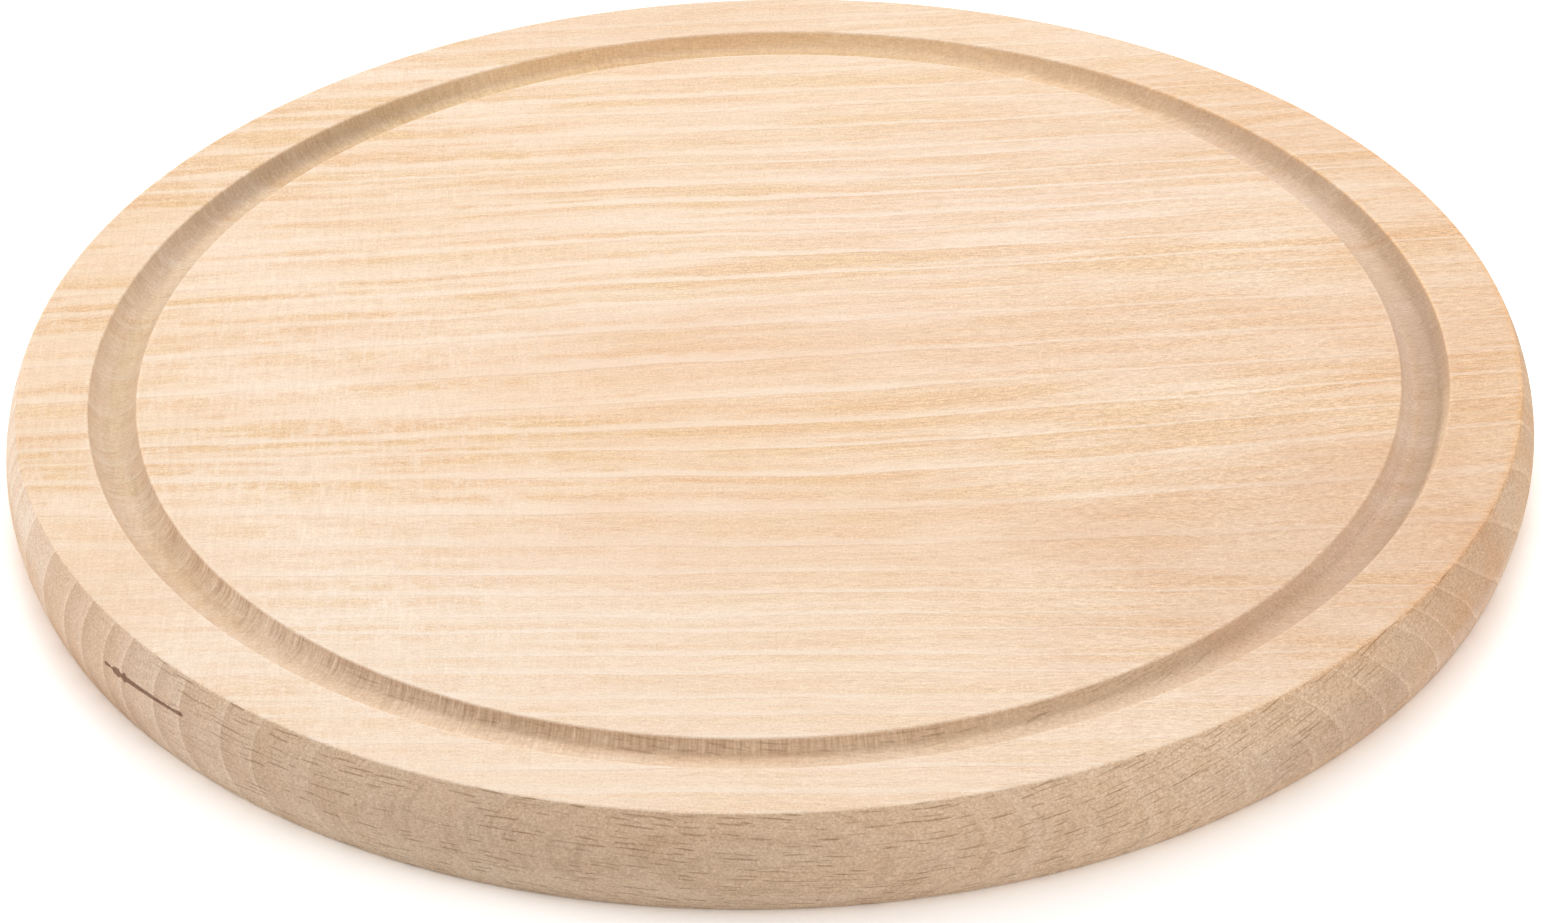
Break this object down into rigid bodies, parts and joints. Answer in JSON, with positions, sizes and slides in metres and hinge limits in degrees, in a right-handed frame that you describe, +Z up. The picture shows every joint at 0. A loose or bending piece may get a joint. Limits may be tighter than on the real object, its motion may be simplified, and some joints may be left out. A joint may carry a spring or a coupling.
{
  "type": "round cutting board",
  "caption": "Round flat solid-wood cutting board with a round-bottomed juice groove near its rim and a convex edge.",
  "frame": {"origin": "centre of the flat underside", "axes": "+Z up, square to the cutting face; +X along the grain"},
  "size_m": [0.25, 0.25, 0.018],
  "materials": {
    "wood": "bare sanded beech, matt"
  },
  "bodies": {
    "root": {"board": "wood"}
  },
  "joints": []
}
